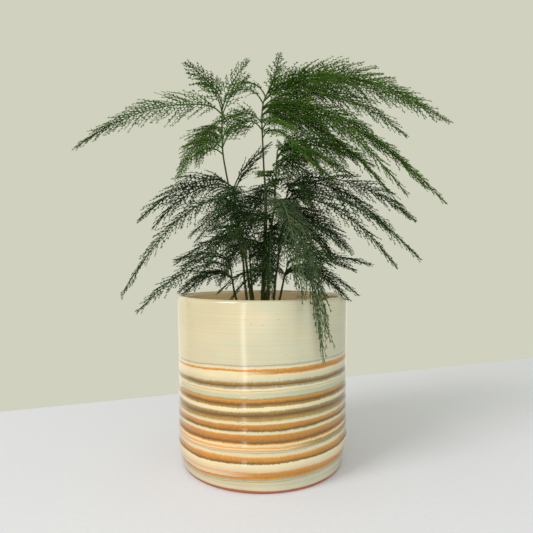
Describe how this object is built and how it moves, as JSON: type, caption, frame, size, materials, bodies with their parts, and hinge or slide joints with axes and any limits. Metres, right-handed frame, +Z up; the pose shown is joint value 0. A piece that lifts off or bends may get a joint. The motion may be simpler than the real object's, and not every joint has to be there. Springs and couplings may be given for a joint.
{
  "type": "potted lace fern (asparagus fern)",
  "caption": "Lace fern with flat, tiered, needle-leaved fronds on wiry stems, in a wheel-thrown glazed pot with turned ridges and banded glaze.",
  "frame": {"origin": "centre of the pot's flat foot, on the surface that it stands on", "axes": "+Z up along the pot's turning axis, +X to the right and +Y to the back as the picture shows it"},
  "size_m": [0.3361, 0.1992, 0.3442],
  "materials": {
    "glazed_stoneware": "gloss",
    "potting_soil": "matte",
    "stem_left_tall_green": "satin",
    "stem_right_tall_green": "satin",
    "stem_centre_green": "satin",
    "stem_left_middle_green": "satin",
    "stem_right_middle_green": "satin",
    "stem_left_low_green": "satin",
    "stem_right_low_green": "satin",
    "stem_front_green": "satin",
    "stem_back_green": "satin",
    "stem_back_low_green": "satin"
  },
  "bodies": {
    "root": {"pot": "glazed_stoneware", "soil": "potting_soil", "stem_left_tall": "stem_left_tall_green", "stem_right_tall": "stem_right_tall_green", "stem_centre": "stem_centre_green", "stem_left_middle": "stem_left_middle_green", "stem_right_middle": "stem_right_middle_green", "stem_left_low": "stem_left_low_green", "stem_right_low": "stem_right_low_green", "stem_front": "stem_front_green", "stem_back": "stem_back_green", "stem_back_low": "stem_back_low_green"}
  },
  "joints": []
}
